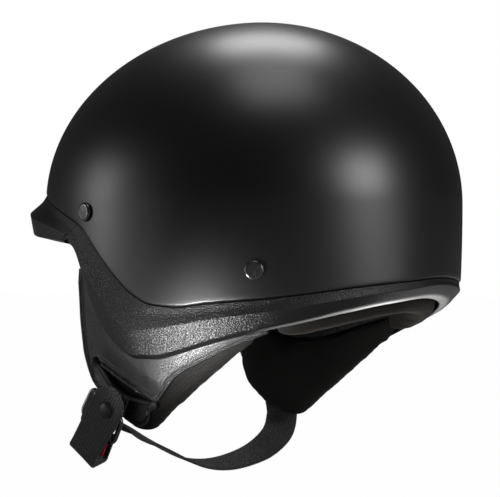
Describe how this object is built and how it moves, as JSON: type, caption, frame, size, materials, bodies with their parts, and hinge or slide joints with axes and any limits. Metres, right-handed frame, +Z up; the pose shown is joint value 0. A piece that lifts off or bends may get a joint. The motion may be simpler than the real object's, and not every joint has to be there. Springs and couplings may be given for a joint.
{
  "type": "half shell motorcycle helmet",
  "caption": "Half shell motorcycle helmet with short brim, padded ear flaps, fabric liner and a chin strap closed by a double D-ring buckle.",
  "frame": {"origin": "centre of the head cavity at the height where the shell is widest", "axes": "+Z up through the crown, -Y towards the brim, +X towards the wearer's left ear, where the buckle is"},
  "size_m": [0.2441, 0.289, 0.2912],
  "materials": {
    "shell_paint": "matte black paint on a fibre shell",
    "trim_plastic": "fine grained black plastic",
    "foam": "black expanded polystyrene",
    "liner_cloth": "dark brushed knit over foam",
    "flap_vinyl": "grained black vinyl",
    "flap_lining": "black knit over foam",
    "webbing": "coarse black twill webbing",
    "tab_ribbon": "red woven ribbon",
    "black_nickel": "black coated steel",
    "plate_steel": "zinc plated"
  },
  "bodies": {
    "helmet": {"anchor_plates": "plate_steel", "brow_pad": "liner_cloth", "buckle_strap": "webbing", "chin_strap": "webbing", "crown_pad": "liner_cloth", "eps_liner": "foam", "front_brim": "trim_plastic", "left_ear_flap": "flap_vinyl", "left_flap_pad": "flap_lining", "left_flap_piping": "flap_vinyl", "left_side_pad": "liner_cloth", "left_slot_lips": "flap_vinyl", "left_strap_yoke": "webbing", "nape_pad": "liner_cloth", "neck_roll": "liner_cloth", "outer_shell": "shell_paint", "right_ear_flap": "flap_vinyl", "right_flap_pad": "flap_lining", "right_flap_piping": "flap_vinyl", "right_side_pad": "liner_cloth", "right_slot_lips": "flap_vinyl", "right_strap_yoke": "webbing", "side_rear_trim": "trim_plastic", "snap_stud": "black_nickel", "strap_fold": "webbing", "strap_rivets": "black_nickel"},
    "inner_ring": {"inner_ring": "black_nickel"},
    "outer_ring": {"outer_ring": "black_nickel"},
    "pull_tab": {"pull_tab": "tab_ribbon"},
    "strap_end": {"strap_tail": "webbing", "snap_cap": "black_nickel"}
  },
  "joints": [
    {"name": "inner_ring_swing", "type": "hinge", "parent": "helmet", "child": "inner_ring", "pos_m": [0.10673, -0.04842, -0.12809], "axis": [0.1258, 0.866, -0.4839], "range_deg": [-8, 0]},
    {"name": "outer_ring_swing", "type": "hinge", "parent": "helmet", "child": "outer_ring", "pos_m": [0.1113, -0.04555, -0.12176], "axis": [0.1258, 0.866, -0.4839], "range_deg": [0, 4]},
    {"name": "pull_tab_swing", "type": "hinge", "parent": "inner_ring", "child": "pull_tab", "pos_m": [0.10426, -0.05685, -0.14381], "axis": [0.1258, 0.866, -0.4839], "range_deg": [-30, 4]},
    {"name": "strap_end_swing", "type": "hinge", "parent": "helmet", "child": "strap_end", "pos_m": [0.11483, -0.06244, -0.15107], "axis": [0.1258, 0.866, -0.4839], "range_deg": [0, 100], "deforming": ["strap_fold"]}
  ]
}
